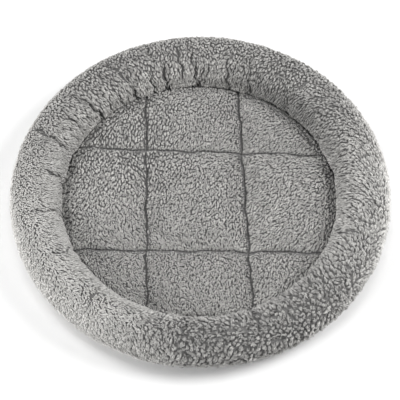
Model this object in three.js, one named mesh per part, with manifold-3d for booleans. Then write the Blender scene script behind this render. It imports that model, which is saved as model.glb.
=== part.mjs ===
// Round plush bed with a stuffed bolster ring and a quilted floor pad.
// Millimetres, +Z up. The origin is the centre of the underside, and the bed stands on the plane z = 0.
// Angles go round the bed, counterclockwise seen from above, with 0 along +X and the front at 270 degrees.
// Turns go round the bolster's section: 0 is its outer side, 90 its top, 180 its inner side and 270 below.
import * as THREE from "three";
import { mergeVertices } from "three/addons/utils/BufferGeometryUtils.js";
import Module from "manifold-3d";

// Driving dimensions of the bolster
const OUTER_RADIUS = 254;
const TUBE_HALF_WIDTH = 34.9;
const TUBE_SWELL = 2.4; // how much wider than that the tube is where it is stuffed most
const TUBE_SWELL_ANGLE = 66;
const TUBE_HALF_HEIGHT = 32.8;
const TUBE_PRESS = 3.5; // how far its weight presses the underside flat
const TUBE_CENTRE_HEIGHT = TUBE_HALF_HEIGHT - TUBE_PRESS;
const SEAM_TURN = 213.6; // where the floor pad is sewn on

// Gathers of the bolster. Each runs across the section from one turn to another, at an angle that may lean.
// depth is how far the cloth is drawn in, and width is half the width of the furrow.
const GATHERS = [
  { angle: 139.0, lean: 0, from: 214, to: 62, depth: 5.5, width: 7 },
  { angle: 160.5, lean: 2, from: 214, to: 50, depth: 6.5, width: 7 },
  { angle: 119.4, lean: -1, from: 214, to: 128, depth: 5, width: 5.5 },
  { angle: 104.4, lean: 0, from: 214, to: 122, depth: 8, width: 5 },
  { angle: 98.2, lean: 0, from: 150, to: 84, depth: 4, width: 5.5 },
  { angle: 91.3, lean: -3, from: 214, to: 116, depth: 6.5, width: 5 },
  { angle: 108.6, lean: 0, from: 122, to: 50, depth: 3, width: 6.5 },
  { angle: 123.2, lean: 0, from: 130, to: 68, depth: 3, width: 6.5 },
  { angle: 77.8, lean: -1.5, from: 200, to: 112, depth: 3, width: 6 },
  { angle: 67.8, lean: -2.5, from: 205, to: 110, depth: 3.5, width: 6 },
  { angle: 49.0, lean: 1, from: 214, to: 120, depth: 3.5, width: 7 },
  { angle: 27.0, lean: -1, from: 214, to: 130, depth: 3, width: 7 },
  { angle: 9.0, lean: 1, from: 112, to: 62, depth: 2, width: 6 },
  { angle: 338.0, lean: 0, from: 170, to: 90, depth: 3.5, width: 6 },
  { angle: 317.2, lean: 2, from: 200, to: 58, depth: 4, width: 7 },
  { angle: 300.4, lean: 0, from: 105, to: 60, depth: 3, width: 7 },
  { angle: 289.2, lean: -1, from: 190, to: 58, depth: 4.5, width: 7 },
  { angle: 266.4, lean: -5, from: 180, to: 56, depth: 3.5, width: 7 },
  { angle: 254.8, lean: -4, from: 190, to: 82, depth: 3.5, width: 6.5 },
  { angle: 231.0, lean: -2, from: 200, to: 74, depth: 3, width: 6 },
  { angle: 209.0, lean: 1, from: 214, to: 96, depth: 4, width: 6.5 },
  { angle: 191.5, lean: -1, from: 214, to: 84, depth: 4.5, width: 7 },
  { angle: 176.0, lean: 1, from: 214, to: 110, depth: 4, width: 6.5 },
];
const GATHER_FADE = 22; // turn over which a gather runs out at its ends
const SEAM_FADE = 11; // the same at the seam, where it runs out sooner

// Driving dimensions of the floor pad
const GAP = 0.3; // between the pad and the bolster along their seam
const CHANNEL_HEIGHT = 20.5;
const CROWN_HEIGHT = 30;
const CROWN_REACH = 52; // distance from a quilting line at which a cell is full
const CROWN_ROUNDNESS = 2.3;
const STITCH_DEPTH = 2.5; // the narrow furrow of the stitching itself
const STITCH_HALF_WIDTH = 4;
// Quilting lines: at is where a line crosses the middle of the bed, slope is how far it leans from its axis.
const LINES_ACROSS_X = [
  { at: -72.5, slope: -0.02 },
  { at: 60.5, slope: -0.043 },
];
const LINES_ACROSS_Y = [
  { at: 73, slope: -0.04 },
  { at: -83, slope: -0.012 },
];
// Section of the pad's rim, from its underside up to its shoulder: distance in from the seam, and height.
const RIM_BELOW_SEAM = [
  { inset: 6, height: 0 },
  { inset: 2, height: 1.6 },
  { inset: 0.4, height: 5 },
];
const RIM_ABOVE_SEAM = [
  { inset: 3.8, height: 15 },
  { inset: 7.5, height: 19 },
  { inset: 12, height: 23 },
  { inset: 20, height: 29 },
  { inset: 30, height: 36 },
];
const RIM_REACH = 46; // distance from the seam at which the outer cells are full

// Fineness of the meshes
const RING_STEPS = 120;
const OUTSIDE_STEPS = 6; // of the bolster's section, from its underside up to its outer side
const TOP_STEPS = 19; // from there over the top to the seam
const HIDDEN_STEPS = 2; // from the seam down to the underside
const UNDERSIDE_STEPS = 2;
const NEAREST_SECTIONS = 1.0; // degrees, under which two sections of the ring are merged into one
const RIM_STEPS = 108;
const GRID_STEP = 11;
const GRID_STEPS_AT_LINE = [-13, -8, -4, 0, 4, 8, 13];
const GRID_HALF_SIZE = 200;

const rad = THREE.MathUtils.degToRad;
const smooth = THREE.MathUtils.smoothstep;

// The signed difference of two angles, from -180 to 180 degrees.
function angleFrom(angle, other) {
  return ((((angle - other + 180) % 360) + 360) % 360) - 180;
}

function tubeHalfWidth(angle) {
  return TUBE_HALF_WIDTH + TUBE_SWELL * Math.cos(rad(angle - TUBE_SWELL_ANGLE));
}

// How far the gathers draw the cloth in at a place on the bolster.
function gatherDepth(angle, turn) {
  let depth = 0;
  for (const g of GATHERS) {
    const fade = g.from > SEAM_TURN ? SEAM_FADE : GATHER_FADE;
    const along = (1 - smooth(turn, g.from - fade, g.from)) * smooth(turn, g.to, g.to + GATHER_FADE);
    if (along === 0) continue;
    const middle = (g.from + g.to) / 2;
    const centre = g.angle + (g.lean * (middle - turn)) / (g.from - g.to);
    const across = rad(angleFrom(angle, centre)) * (OUTER_RADIUS - tubeHalfWidth(angle));
    depth += g.depth * along * Math.exp(-((across / g.width) ** 2));
  }
  return depth;
}

// A point of the bolster's surface. The part of the section below the floor is pressed flat on it.
function tubePoint(angle, turn) {
  const halfWidth = tubeHalfWidth(angle);
  const inward = gatherDepth(angle, turn);
  const out = OUTER_RADIUS - halfWidth + (halfWidth - inward) * Math.cos(rad(turn));
  const height = TUBE_CENTRE_HEIGHT + (TUBE_HALF_HEIGHT - inward) * Math.sin(rad(turn));
  return new THREE.Vector3(out * Math.cos(rad(angle)), out * Math.sin(rad(angle)), Math.max(height, 0));
}

// The seam, where the pad meets the bolster's inner wall.
const SEAM_HEIGHT = TUBE_CENTRE_HEIGHT + TUBE_HALF_HEIGHT * Math.sin(rad(SEAM_TURN));

function seamRadius(angle) {
  const halfWidth = tubeHalfWidth(angle);
  return OUTER_RADIUS - halfWidth + halfWidth * Math.cos(rad(SEAM_TURN));
}

// A closed mesh from rows of points that wrap round in both directions, or with flat ends closed by a fan.
function loftGeometry(rows, capped) {
  const count = rows[0].length;
  const positions = rows.flat().flatMap((p) => [p.x, p.y, p.z]);
  const index = [];
  const last = capped ? rows.length - 1 : rows.length;
  for (let i = 0; i < last; i++) {
    const next = (i + 1) % rows.length;
    for (let j = 0; j < count; j++) {
      const beside = (j + 1) % count;
      const a = i * count + j;
      const b = i * count + beside;
      const c = next * count + beside;
      const d = next * count + j;
      index.push(a, b, c, a, c, d);
    }
  }
  if (capped) {
    const bottomCentre = positions.length / 3;
    const topCentre = bottomCentre + 1;
    const top = (rows.length - 1) * count;
    positions.push(0, 0, rows[0][0].z, 0, 0, rows[rows.length - 1][0].z);
    for (let j = 0; j < count; j++) {
      const beside = (j + 1) % count;
      index.push(bottomCentre, beside, j, topCentre, top + j, top + beside);
    }
  }
  const geometry = new THREE.BufferGeometry();
  geometry.setAttribute("position", new THREE.Float32BufferAttribute(positions, 3));
  geometry.setIndex(index);
  return geometry;
}

// Angles of the ring's sections: even steps, with three more at each gather so that its furrow is caught.
function sectionAngles() {
  const angles = [];
  for (const g of GATHERS) {
    const shoulder = THREE.MathUtils.radToDeg(g.width / (OUTER_RADIUS - TUBE_HALF_WIDTH));
    angles.push(g.angle - shoulder, g.angle, g.angle + shoulder);
  }
  const fixed = angles.length;
  for (let i = 0; i < RING_STEPS; i++) {
    const angle = (i * 360) / RING_STEPS;
    const near = angles.slice(0, fixed).some((other) => Math.abs(angleFrom(angle, other)) < NEAREST_SECTIONS);
    if (!near) angles.push(angle);
  }
  return angles.map((angle) => (angle + 360) % 360).sort((a, b) => a - b);
}

// Turns of the section's points. One is on the outermost line, one on the seam, two on the underside's edges.
function sectionTurns() {
  const edge = THREE.MathUtils.radToDeg(Math.asin(TUBE_CENTRE_HEIGHT / TUBE_HALF_HEIGHT));
  const stretches = [
    { start: -edge, end: 0, steps: OUTSIDE_STEPS },
    { start: 0, end: SEAM_TURN, steps: TOP_STEPS },
    { start: SEAM_TURN, end: 180 + edge, steps: HIDDEN_STEPS },
    { start: 180 + edge, end: 360 - edge, steps: UNDERSIDE_STEPS },
  ];
  return stretches.flatMap(({ start, end, steps }) =>
    Array.from({ length: steps }, (_, i) => start + ((end - start) * i) / steps),
  );
}

// The sections are taken clockwise, which turns the faces out.
function bolsterRing() {
  const turns = sectionTurns();
  const sections = sectionAngles().reverse();
  return loftGeometry(sections.map((angle) => turns.map((turn) => tubePoint(angle, turn))), false);
}

// How full a quilted cell is at a distance from where it is held down, as a share of its crown.
function fullness(distance, reach) {
  const share = THREE.MathUtils.clamp(distance / reach, 0, 1);
  return 1 - (1 - share) ** CROWN_ROUNDNESS;
}

// Height of the pad's quilted top. Its cells are held down by the quilting lines and by the seam.
function quiltedHeight(x, y) {
  const alongX = Math.min(...LINES_ACROSS_X.map((line) => Math.abs(x - line.at - line.slope * y)));
  const alongY = Math.min(...LINES_ACROSS_Y.map((line) => Math.abs(y - line.at - line.slope * x)));
  const fromSeam = seamRadius(THREE.MathUtils.radToDeg(Math.atan2(y, x))) - Math.hypot(x, y);
  const held = fullness(alongX, CROWN_REACH) * fullness(alongY, CROWN_REACH) * fullness(fromSeam, RIM_REACH);
  const stitch = Math.exp(-((Math.min(alongX, alongY) / STITCH_HALF_WIDTH) ** 2));
  return CHANNEL_HEIGHT + (CROWN_HEIGHT - CHANNEL_HEIGHT) * held - STITCH_DEPTH * stitch;
}

// Grid positions along one axis: close together at the quilting lines, even steps between them.
function gridPositions(lines) {
  const dense = lines.flatMap((line) => GRID_STEPS_AT_LINE.map((step) => line.at + step));
  const stops = [-GRID_HALF_SIZE, ...dense.sort((a, b) => a - b), GRID_HALF_SIZE];
  const positions = [stops[0]];
  for (let i = 1; i < stops.length; i++) {
    const span = stops[i] - stops[i - 1];
    const steps = Math.max(1, Math.round(span / GRID_STEP));
    for (let k = 1; k <= steps; k++) positions.push(stops[i - 1] + (span * k) / steps);
  }
  return positions;
}

// The lean of a quilting line, blended between the two lines so that grid lines follow both.
function leanAt(lines, position) {
  const [first, second] = lines;
  const share = THREE.MathUtils.clamp((position - first.at) / (second.at - first.at), 0, 1);
  return THREE.MathUtils.lerp(first.slope, second.slope, share);
}

// A square slab with a flat underside and the quilted top, its grid lines running along the quilting lines.
function quiltedSlab() {
  const across = gridPositions(LINES_ACROSS_X);
  const down = gridPositions(LINES_ACROSS_Y);
  const columns = across.length;
  const top = [];
  for (const v of down) {
    for (const u of across) {
      const x = u + leanAt(LINES_ACROSS_X, u) * v;
      const y = v + leanAt(LINES_ACROSS_Y, v) * u;
      top.push(new THREE.Vector3(x, y, quiltedHeight(x, y)));
    }
  }
  const at = (i, j) => i * columns + j;
  const index = [];
  for (let i = 0; i < down.length - 1; i++) {
    for (let j = 0; j < columns - 1; j++) {
      index.push(at(i, j), at(i, j + 1), at(i + 1, j + 1), at(i, j), at(i + 1, j + 1), at(i + 1, j));
    }
  }
  const edge = [];
  for (let j = 0; j < columns - 1; j++) edge.push(at(0, j));
  for (let i = 0; i < down.length - 1; i++) edge.push(at(i, columns - 1));
  for (let j = columns - 1; j > 0; j--) edge.push(at(down.length - 1, j));
  for (let i = down.length - 1; i > 0; i--) edge.push(at(i, 0));
  const points = [...top];
  const below = edge.map((k) => points.push(new THREE.Vector3(top[k].x, top[k].y, 0)) - 1);
  const centre = points.push(new THREE.Vector3(0, 0, 0)) - 1;
  for (let k = 0; k < edge.length; k++) {
    const next = (k + 1) % edge.length;
    index.push(edge[k], below[k], below[next], edge[k], below[next], edge[next]);
    index.push(centre, below[next], below[k]);
  }
  const geometry = new THREE.BufferGeometry().setFromPoints(points);
  geometry.setIndex(index);
  return geometry;
}

// The pad's round outline as a solid. It stays clear of the bolster and falls from its shoulder to the seam.
function roundPlug() {
  const profile = [...RIM_BELOW_SEAM, { inset: 0, height: SEAM_HEIGHT }, ...RIM_ABOVE_SEAM];
  const angles = Array.from({ length: RIM_STEPS }, (_, i) => (i * 360) / RIM_STEPS);
  const rows = profile.map(({ inset, height }) =>
    angles.map((angle) => {
      const radius = seamRadius(angle) - GAP - inset;
      return new THREE.Vector3(radius * Math.cos(rad(angle)), radius * Math.sin(rad(angle)), height);
    }),
  );
  return loftGeometry(rows, true);
}

function floorPad(wasm) {
  const solids = [quiltedSlab(), roundPlug()].map((geometry) => {
    const merged = mergeVertices(geometry);
    const vertProperties = merged.attributes.position.array;
    const triVerts = new Uint32Array(merged.index.array);
    return new wasm.Manifold(new wasm.Mesh({ numProp: 3, vertProperties, triVerts }));
  });
  const cut = solids[0].intersect(solids[1]).getMesh();
  const geometry = new THREE.BufferGeometry();
  geometry.setAttribute("position", new THREE.BufferAttribute(cut.vertProperties, 3));
  geometry.setIndex(new THREE.BufferAttribute(cut.triVerts, 1));
  return geometry;
}

const wasm = await Module();
wasm.setup();

const fleece = { color: 0x9c9c99, roughness: 0.95, metalness: 0 };
const pieces = [
  ["bolster_ring", bolsterRing()],
  ["floor_pad", floorPad(wasm)],
];

const bed = new THREE.Group();
for (const [name, geometry] of pieces) {
  geometry.computeVertexNormals();
  const mesh = new THREE.Mesh(geometry, new THREE.MeshStandardMaterial(fleece));
  mesh.name = name;
  bed.add(mesh);
}

export default bed;
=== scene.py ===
# %% [markdown]
# A round plush bed
#
# The bed is a stuffed fleece ring, called the bolster, sewn round a quilted floor pad. Its shape is simple.
# What makes it look soft is its lambswool fleece: tens of thousands of short locks on a knitted cloth. So
# this lesson first builds the two stuffed forms, then sows locks on them, and only then paints and lights
# them. It starts by loading the finished solids of the bed, which give its width and the bolster's height.

# %% Tools and frame
import math

import bpy
import numpy as np
from mathutils import Matrix, Vector
from mathutils.bvhtree import BVHTree
from mathutils.kdtree import KDTree


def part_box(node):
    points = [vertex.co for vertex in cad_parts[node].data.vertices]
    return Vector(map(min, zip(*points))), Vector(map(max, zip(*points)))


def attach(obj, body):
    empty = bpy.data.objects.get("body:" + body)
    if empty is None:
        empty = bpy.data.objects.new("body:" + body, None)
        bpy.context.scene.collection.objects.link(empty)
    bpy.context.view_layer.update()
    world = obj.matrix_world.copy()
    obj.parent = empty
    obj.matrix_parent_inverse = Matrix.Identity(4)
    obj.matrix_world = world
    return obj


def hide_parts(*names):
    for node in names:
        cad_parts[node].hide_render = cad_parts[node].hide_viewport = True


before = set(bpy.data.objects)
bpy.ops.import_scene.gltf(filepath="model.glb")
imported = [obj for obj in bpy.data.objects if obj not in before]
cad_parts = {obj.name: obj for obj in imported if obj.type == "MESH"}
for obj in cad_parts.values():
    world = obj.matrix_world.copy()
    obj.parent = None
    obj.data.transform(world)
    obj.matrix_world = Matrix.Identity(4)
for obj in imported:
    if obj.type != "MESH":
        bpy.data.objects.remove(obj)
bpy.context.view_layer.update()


print("nodes:", sorted(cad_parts))

# %% [markdown]
# Camera
#
# A long lens far away keeps the ring's ellipse almost undistorted, as product photographers like it. The
# place of the camera follows from three facts read off the photograph: how high above the horizon it looks
# down from, how large a millimetre is in the picture, and where in the picture the middle of the ring
# falls. It is set up before anything else, so that every later step can be judged through it.

# %% Camera
MM = 0.001
PICTURE_WIDTH = 400
FOCAL_PIXELS = 1500
ELEVATION = math.radians(58.5)
RING_MIDDLE_PIXEL = (200.4, 192.8)
SENSOR_WIDTH = 36  # millimetres, as in a full-frame camera

ring_low, ring_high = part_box("bolster_ring")
OUTER_RADIUS = (ring_high.x - ring_low.x) / 2
BOLSTER_HEIGHT = ring_high.z - ring_low.z
RADIUS_PIXELS = 189.8
metres_per_pixel = OUTER_RADIUS / RADIUS_PIXELS
PRESS = 3.5 * MM  # how far the bolster's underside is pressed flat
TUBE_HALF_HEIGHT = (BOLSTER_HEIGHT + PRESS) / 2
TUBE_CENTRE_HEIGHT = TUBE_HALF_HEIGHT - PRESS

ring_middle = Vector((0, 0, TUBE_CENTRE_HEIGHT))
view_up = Vector((0, math.sin(ELEVATION), math.cos(ELEVATION)))
to_camera = Vector((0, -math.cos(ELEVATION), math.sin(ELEVATION)))
camera_place = ring_middle + to_camera * FOCAL_PIXELS * metres_per_pixel
right_of_middle = PICTURE_WIDTH / 2 - RING_MIDDLE_PIXEL[0]
below_middle = PICTURE_WIDTH / 2 - RING_MIDDLE_PIXEL[1]
aim = ring_middle + metres_per_pixel * (right_of_middle * Vector((1, 0, 0)) - below_middle * view_up)

camera_data = bpy.data.cameras.new("camera")
camera_data.sensor_width = SENSOR_WIDTH
camera_data.lens = SENSOR_WIDTH * FOCAL_PIXELS / PICTURE_WIDTH
camera = bpy.data.objects.new("camera", camera_data)
bpy.context.collection.objects.link(camera)
camera_turn = (camera_place - aim).to_track_quat("Z", "Y").to_matrix().to_4x4()
camera.matrix_world = Matrix.Translation(camera_place) @ camera_turn
bpy.context.scene.camera = camera
print(f"camera {camera_place.length:.2f} m away, lens {camera_data.lens:.0f} mm")
print(f"{metres_per_pixel / MM:.3f} mm a pixel")

# %% [markdown]
# The bolster's girth
#
# The bolster is a tube stuffed with loose fibre and closed to a ring. Its section is nearly round, and a
# little wider where more filling went in. Places on it are told by two numbers: the angle round the bed,
# counted from the right, and the turn round the tube. A turn of 0 is the tube's outer side, 90 its top and
# 180 its inner side.

# %% The bolster's girth
TUBE_HALF_WIDTH = 34.9 * MM
TUBE_SWELL = 2.4 * MM
TUBE_SWELL_ANGLE = 66


def tube_half_width(angle):
    return TUBE_HALF_WIDTH + TUBE_SWELL * np.cos(np.radians(angle - TUBE_SWELL_ANGLE))


print(f"tube {2 * TUBE_HALF_WIDTH / MM:.0f} mm wide and {BOLSTER_HEIGHT / MM:.0f} mm high")

# %% [markdown]
# The bolster's gathers
#
# Where the bolster is sewn to the pad, its cloth is gathered: there is too much of it for the short inner
# seam, so it is drawn into furrows that run from the seam up and over the top. Each furrow is a row of a
# table, because no two are alike, and one function adds up how deep they are anywhere.

# %% The bolster's gathers
SEAM_TURN = 213.6
GATHER_FADE = 22
SEAM_FADE = 11
# angle and lean in degrees round the bed, from and to in degrees of turn, depth and half width in millimetres
GATHERS = [
    (139.0, 0, 214, 62, 5.5, 7),
    (160.5, 2, 214, 50, 6.5, 7),
    (119.4, -1, 214, 128, 5, 5.5),
    (104.4, 0, 214, 122, 8, 5),
    (98.2, 0, 150, 84, 4, 5.5),
    (91.3, -3, 214, 116, 6.5, 5),
    (108.6, 0, 122, 50, 3, 6.5),
    (123.2, 0, 130, 68, 3, 6.5),
    (77.8, -1.5, 200, 112, 3, 6),
    (67.8, -2.5, 205, 110, 3.5, 6),
    (49.0, 1, 214, 120, 3.5, 7),
    (27.0, -1, 214, 130, 3, 7),
    (9.0, 1, 112, 62, 2, 6),
    (338.0, 0, 170, 90, 3.5, 6),
    (317.2, 2, 200, 58, 4, 7),
    (300.4, 0, 105, 60, 3, 7),
    (289.2, -1, 190, 58, 4.5, 7),
    (266.4, -5, 180, 56, 3.5, 7),
    (254.8, -4, 190, 82, 3.5, 6.5),
    (231.0, -2, 200, 74, 3, 6),
    (209.0, 1, 214, 96, 4, 6.5),
    (191.5, -1, 214, 84, 4.5, 7),
    (176.0, 1, 214, 110, 4, 6.5),
]


def smoothstep(x, low, high):
    share = np.clip((x - low) / (high - low), 0, 1)
    return share * share * (3 - 2 * share)


def near(distance, reach):
    """1 at no distance, fading to 0 beyond the reach."""
    return np.exp(-((distance / reach) ** 2))


def to_side(angle, centre):
    """How far to the side of an angle another one lies, in metres along the top of the ring."""
    return np.radians((angle - centre + 180) % 360 - 180) * (OUTER_RADIUS - tube_half_width(angle))


def gather_depth(angle, turn):
    depth = np.zeros(np.broadcast(angle, turn).shape)
    for centre, lean, start, end, deep, half_width in GATHERS:
        fade = SEAM_FADE if start > SEAM_TURN else GATHER_FADE
        along = (1 - smoothstep(turn, start - fade, start)) * smoothstep(turn, end, end + GATHER_FADE)
        leaning = centre + lean * ((start + end) / 2 - turn) / (start - end)
        depth += deep * MM * along * near(to_side(angle, leaning), half_width * MM)
    return depth


print(f"{len(GATHERS)} gathers")

# %% [markdown]
# The bolster's form
#
# A formula says this form better than sculpting: a round section, less the gathers, carried round the bed
# and pressed flat underneath. The surface is given a depth, so that the same formula yields the tips of the
# pile and the cloth under it.

# %% The bolster's form
def bolster_surface(angle, turn, under=0.0, gathered=1.0):
    """Points of the bolster, so far under the tips of its pile, with all or a share of the gathers' depth."""
    half_width = tube_half_width(angle)
    inward = gathered * gather_depth(angle, turn) + under
    out = OUTER_RADIUS - half_width + (half_width - inward) * np.cos(np.radians(turn))
    height = TUBE_CENTRE_HEIGHT + (TUBE_HALF_HEIGHT - inward) * np.sin(np.radians(turn))
    around = np.radians(angle)
    return np.stack([out * np.cos(around), out * np.sin(around), np.maximum(height, 0)], -1)


print("its top at the back, in mm:", (bolster_surface(90, 90) / MM).round(1))

# %% [markdown]
# The floor pad's form
#
# The pad is a round cushion quilted by two lines of stitching each way, so that nine cells bulge between
# them. Each cell is fullest in its middle and held down by the lines round it and by the seam. The height
# is worked out as one crown times a share for each thing that holds the cell down, less a narrow furrow
# where the stitches bite.

# %% The floor pad's form
CHANNEL_HEIGHT = 20.5 * MM
CROWN_HEIGHT = 30 * MM
CROWN_REACH = 52 * MM
RIM_REACH = 46 * MM
CROWN_ROUNDNESS = 2.3
STITCH_DEPTH = 2.5 * MM
STITCH_HALF_WIDTH = 4 * MM
LINE_WOBBLE = 0.9 * MM
WOBBLE_LENGTHS = (13 * MM, 6.1 * MM)
SHORTER_WOBBLE = 0.7
SHORTER_STARTS = 1  # radians on, so that the two waves don't swing together
SEAM_GAP = 0.3 * MM
# where each quilting line crosses the middle of the bed in millimetres, and its slope
LINES_ACROSS_X = [(-72.5, -0.02), (60.5, -0.043)]
LINES_ACROSS_Y = [(73, -0.04), (-83, -0.012)]
SEAM_HEIGHT = TUBE_CENTRE_HEIGHT + TUBE_HALF_HEIGHT * math.sin(math.radians(SEAM_TURN))
# the rim's shoulder above the seam: distance in from the seam and height, in millimetres
SHOULDER_INSETS = np.array([0, 3.8, 7.5, 12, 20, 30, 60]) * MM
SHOULDER_HEIGHTS = np.array([SEAM_HEIGHT / MM, 15, 19, 23, 29, 36, 60]) * MM


def seam_radius(angle):
    half_width = tube_half_width(angle)
    return OUTER_RADIUS - half_width + half_width * math.cos(math.radians(SEAM_TURN))


def inside_seam(x, y):
    """How far inside the seam a place on the pad lies."""
    return seam_radius(np.degrees(np.arctan2(y, x))) - np.hypot(x, y)


def fullness(distance, reach):
    return 1 - (1 - np.clip(distance / reach, 0, 1)) ** CROWN_ROUNDNESS


def wobble(along):
    """How far a quilting line strays to its side, because thick pile shifts under the needle."""
    long_wave, short_wave = WOBBLE_LENGTHS
    shorter = SHORTER_WOBBLE * np.sin(along / short_wave + SHORTER_STARTS)
    return LINE_WOBBLE * (np.sin(along / long_wave) + shorter)


def line_place(at, slope, along):
    """Where a quilting line lies, so far along it."""
    return at * MM + slope * along + wobble(along)


def distance_to_lines(along, other, lines):
    return np.min([np.abs(along - line_place(*line, other)) for line in lines], axis=0)


def pad_height(x, y):
    """Height of the tips of the pad's pile."""
    from_seam = inside_seam(x, y) - SEAM_GAP
    along_x = distance_to_lines(x, y, LINES_ACROSS_X)
    along_y = distance_to_lines(y, x, LINES_ACROSS_Y)
    held = fullness(along_x, CROWN_REACH) * fullness(along_y, CROWN_REACH) * fullness(from_seam, RIM_REACH)
    stitch = near(np.minimum(along_x, along_y), STITCH_HALF_WIDTH)
    quilted = CHANNEL_HEIGHT + (CROWN_HEIGHT - CHANNEL_HEIGHT) * held - STITCH_DEPTH * stitch
    return np.minimum(quilted, np.interp(from_seam, SHOULDER_INSETS, SHOULDER_HEIGHTS))


print(f"seam {SEAM_HEIGHT / MM:.1f} mm above the floor, {seam_radius(90) / MM:.0f} mm from the middle")

# %% [markdown]
# From arrays to meshes
#
# Everything here is worked out as arrays of points, so one helper turns arrays into a mesh object. Faces
# come as rows of corner numbers, and values that the finish needs later ride along as attributes, one
# number for each point.

# %% From arrays to meshes
def mesh_object(name, points, faces, values=None):
    """An object from points, rows of faces' corners and values for each point."""
    corners = np.concatenate([rows.ravel() for rows in faces])
    sizes = np.concatenate([np.full(len(rows), rows.shape[1]) for rows in faces])
    starts = np.concatenate([[0], np.cumsum(sizes)[:-1]])
    mesh = bpy.data.meshes.new(name)
    mesh.vertices.add(len(points))
    mesh.vertices.foreach_set("co", points.astype(np.float32).ravel())
    mesh.loops.add(len(corners))
    mesh.loops.foreach_set("vertex_index", corners.astype(np.int32))
    mesh.polygons.add(len(sizes))
    mesh.polygons.foreach_set("loop_start", starts.astype(np.int32))
    mesh.polygons.foreach_set("use_smooth", np.full(len(sizes), True))
    for key, numbers in (values or {}).items():
        layer = mesh.attributes.new(key, "FLOAT", "POINT")
        layer.data.foreach_set("value", numbers.astype(np.float32).ravel())
    mesh.update(calc_edges=True)
    mesh.validate()
    piece = bpy.data.objects.new(name, mesh)
    bpy.context.collection.objects.link(piece)
    print(f"{name}: {len(points)} points, {int((sizes - 2).sum())} triangles")
    return piece


def grid_faces(rows, columns, wrap_rows=False):
    """Four-cornered faces between the points of a grid whose columns wrap round."""
    i = np.arange(rows if wrap_rows else rows - 1)[:, None]
    j = np.arange(columns)[None, :]
    below = (i + 1) % rows
    beside = (j + 1) % columns
    corners = [i * columns + j, i * columns + beside, below * columns + beside, below * columns + j]
    return np.stack([np.broadcast_to(c, (len(i), columns)).ravel() for c in corners], -1)


print("corners of the first face of a grid three points wide:", grid_faces(2, 3)[0])

# %% [markdown]
# Directions on a surface
#
# Pile stands on cloth, so everything that grows on the bed has to know which way is out of it. Two tiny
# steps over a surface tell: whatever is square to both points outwards. That works for any form that a
# formula gives, so the bolster and the pad share it.

# %% Directions on a surface
NUDGE_DEGREES = 0.4
NUDGE = 1 * MM


def unit(vectors):
    return vectors / np.linalg.norm(vectors, axis=-1, keepdims=True)


def outward(surface, first, second, nudge):
    """Unit normals of a surface whose first and second place values are nudged in turn."""
    here = surface(first, second)
    return unit(np.cross(surface(first + nudge, second) - here, surface(first, second + nudge) - here))


bolster_top = np.array([0.0]), np.array([90.0])
print("out of the bolster's top:", outward(bolster_surface, *bolster_top, NUDGE_DEGREES).round(2))

# %% [markdown]
# The bolster's cloth
#
# The fleece has a knitted back, and that cloth takes the shape of the stuffing. It lies a few millimetres
# inside the solid, because the pile fills the rest. Only where the bolster rests on the floor, and where it
# is sewn on, is there no pile, and there the cloth lies on the solid itself. The first form comes from the
# formula, on a grid of nearly square faces that suits a cloth simulation.

# %% The bolster's cloth
PILE_DEPTH = 2.8 * MM  # how far the cloth lies inside the solid
SWELL = 0.8 * MM  # room left on the inner side for what the stuffing adds
SWELL_TURNS = (40, 100)
GATHERED_AT_FIRST = 0.5  # the stuffing deepens the gathers, so the cut cloth starts with shallower ones
PILE_FROM_TURN = -58
PILE_SETS_IN = (-6, 12)  # degrees of turn before and after that
PILE_ENDS_WITHIN = 8  # degrees of turn above the seam
RING_SECTIONS = 220
SECTION_POINTS = 36


def from_below(turn):
    """The same turn, counted from -90 straight below up to 270."""
    return (turn + 90) % 360 - 90


def on_pile_side(turn):
    """1 where the bolster has pile, 0 on its underside and where it is sewn on."""
    sets_in, full = PILE_SETS_IN
    off_floor = smoothstep(from_below(turn), PILE_FROM_TURN + sets_in, PILE_FROM_TURN + full)
    return off_floor * (1 - smoothstep(from_below(turn), SEAM_TURN - PILE_ENDS_WITHIN, SEAM_TURN))


angles = np.linspace(360, 0, RING_SECTIONS, endpoint=False)[:, None]
turns = np.linspace(0, 360, SECTION_POINTS, endpoint=False)[None, :]
cloth_under = (PILE_DEPTH + SWELL * smoothstep(turns, *SWELL_TURNS)) * on_pile_side(turns)
ring_points = bolster_surface(angles, turns, cloth_under, GATHERED_AT_FIRST).reshape(-1, 3)
ring_faces = grid_faces(RING_SECTIONS, SECTION_POINTS, wrap_rows=True)
bolster_cloth = mesh_object("bolster_cloth", ring_points, [ring_faces])

# %% [markdown]
# The pad's cloth
#
# A round grid would crowd its points in the middle, and cloth simulates best on faces of one size. So the
# pad is first built from rings of points, and a voxel remesh then lays an even net of faces over it.

# %% The pad's cloth
PAD_SECTORS = 240
PAD_RINGS = 70
FIRST_RING = 0.004  # its radius as a share of the rim's
SINKS_AT_RIM = 10  # how steeply the cloth sinks from the rim to its full depth under the pile
BOTTOM_INSET = 6 * MM
BOTTOM_ROWS = 6
VOXEL = 6 * MM


def pad_surface(x, y, under=0.0):
    return np.stack([x, y, np.maximum(pad_height(x, y) - under, 0)], -1)


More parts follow.
